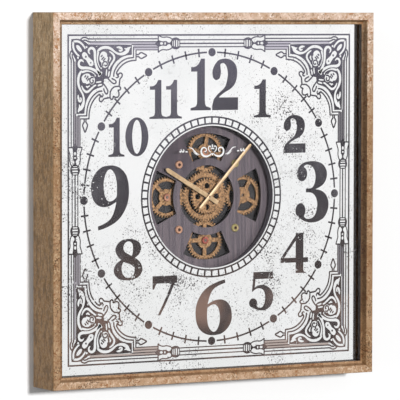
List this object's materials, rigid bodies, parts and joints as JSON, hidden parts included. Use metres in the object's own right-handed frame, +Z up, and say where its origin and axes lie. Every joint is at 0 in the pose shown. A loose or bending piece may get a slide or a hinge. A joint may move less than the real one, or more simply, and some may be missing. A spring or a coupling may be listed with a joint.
{
  "type": "gear wall clock",
  "caption": "Square deep-framed wall clock with a silvered, printed glass dial, a round window onto turning gears, and plain hour and minute hands.",
  "frame": {"origin": "middle of the wall plane, behind the hands' axis", "axes": "+X to the right of someone who looks at the dial, +Y into the wall, +Z up"},
  "size_m": [0.6, 0.07, 0.6],
  "materials": {
    "copper_leaf": "copper leaf over wood, mottled and rubbed",
    "black_spacer": "matt black",
    "clear_glass": "clear, polished",
    "aged_mirror": "silvered with fine dark foxing and a printed dial",
    "black_paint": "matt black",
    "dark_board": "plain dark board",
    "steel": "plain bright steel",
    "brushed_plate": "upright brushed grain, purple grey",
    "gear_brass": "aged brass, fine turned grain",
    "screw_brass": "turned brass",
    "collar_copper": "polished copper",
    "collar_red": "glossy red",
    "gilt_hand": "pale gilt, satin",
    "black_plastic": "fine matt grain",
    "cell_wrap": "printed wrap in two plain colours"
  },
  "bodies": {
    "case": {"rail_top": "copper_leaf", "rail_right": "copper_leaf", "rail_bottom": "copper_leaf", "rail_left": "copper_leaf", "glazing_spacer_top": "black_spacer", "glazing_spacer_right": "black_spacer", "glazing_spacer_bottom": "black_spacer", "glazing_spacer_left": "black_spacer", "dial_glass": "clear_glass", "mirror_film": "aged_mirror", "window_shroud": "black_paint", "back_plate": "black_paint", "back_panel": "dark_board", "hanging_batten": "dark_board", "hanger_plate_left": "steel", "hanger_plate_right": "steel", "corner_bracket_top_left": "steel", "corner_bracket_top_right": "steel", "corner_bracket_bottom_left": "steel", "corner_bracket_bottom_right": "steel", "gear_arbor_right": "steel", "gear_arbor_top": "steel", "gear_arbor_left": "steel", "centre_collar": "steel", "movement_contact_minus": "steel", "movement_contact_plus": "steel", "motor_contact_minus": "steel", "motor_contact_plus": "steel", "front_plate": "brushed_plate", "plate_pillar_top_right": "screw_brass", "plate_pillar_top_left": "screw_brass", "plate_pillar_bottom_left": "screw_brass", "plate_pillar_bottom_right": "screw_brass", "pillar_screw_top_right": "screw_brass", "pillar_screw_top_left": "screw_brass", "pillar_screw_bottom_left": "screw_brass", "pillar_screw_bottom_right": "screw_brass", "movement_bush": "screw_brass", "bush_nut": "screw_brass", "arbor_collar_top": "collar_copper", "arbor_collar_left": "collar_copper", "movement_case": "black_plastic", "gear_motor_case": "black_plastic", "movement_cell": "cell_wrap", "motor_cell": "cell_wrap"},
    "minute_train": {"minute_arbor": "steel", "minute_hand": "gilt_hand", "setting_knob": "black_plastic"},
    "hour_train": {"hour_pipe": "screw_brass", "hour_hand": "gilt_hand"},
    "centre_train": {"centre_wheel": "gear_brass", "centre_cog": "gear_brass"},
    "satellite_right": {"satellite_gear_right": "gear_brass"},
    "satellite_top": {"satellite_gear_top": "gear_brass"},
    "satellite_left": {"satellite_gear_left": "gear_brass"},
    "satellite_bottom": {"satellite_gear_bottom": "gear_brass", "gear_arbor_bottom": "steel", "arbor_collar_bottom": "collar_red"}
  },
  "joints": [
    {"name": "minute_hand_spin", "type": "hinge", "parent": "case", "child": "minute_train", "pos_m": [0, -0.0427, 0], "axis": [0, 1, 0], "continuous": true},
    {"name": "hour_hand_spin", "type": "hinge", "parent": "case", "child": "hour_train", "pos_m": [0, -0.039, 0], "axis": [0, 1, 0], "continuous": true},
    {"name": "centre_wheel_spin", "type": "hinge", "parent": "case", "child": "centre_train", "pos_m": [0, -0.0261, 0], "axis": [0, 1, 0], "continuous": true},
    {"name": "satellite_right_spin", "type": "hinge", "parent": "case", "child": "satellite_right", "pos_m": [0.072, -0.0261, 0], "axis": [0, 1, 0], "continuous": true},
    {"name": "satellite_top_spin", "type": "hinge", "parent": "case", "child": "satellite_top", "pos_m": [0, -0.0261, 0.072], "axis": [0, 1, 0], "continuous": true},
    {"name": "satellite_left_spin", "type": "hinge", "parent": "case", "child": "satellite_left", "pos_m": [-0.072, -0.0261, 0], "axis": [0, 1, 0], "continuous": true},
    {"name": "satellite_bottom_spin", "type": "hinge", "parent": "case", "child": "satellite_bottom", "pos_m": [0, -0.0261, -0.072], "axis": [0, 1, 0], "continuous": true}
  ],
  "couplings": [
    {"joint": "hour_hand_spin", "follows": "minute_hand_spin", "ratio": 0.083333},
    {"joint": "satellite_right_spin", "follows": "centre_wheel_spin", "ratio": -1.25},
    {"joint": "satellite_top_spin", "follows": "centre_wheel_spin", "ratio": -1.25},
    {"joint": "satellite_left_spin", "follows": "centre_wheel_spin", "ratio": -1.25},
    {"joint": "satellite_bottom_spin", "follows": "centre_wheel_spin", "ratio": -1.25}
  ]
}
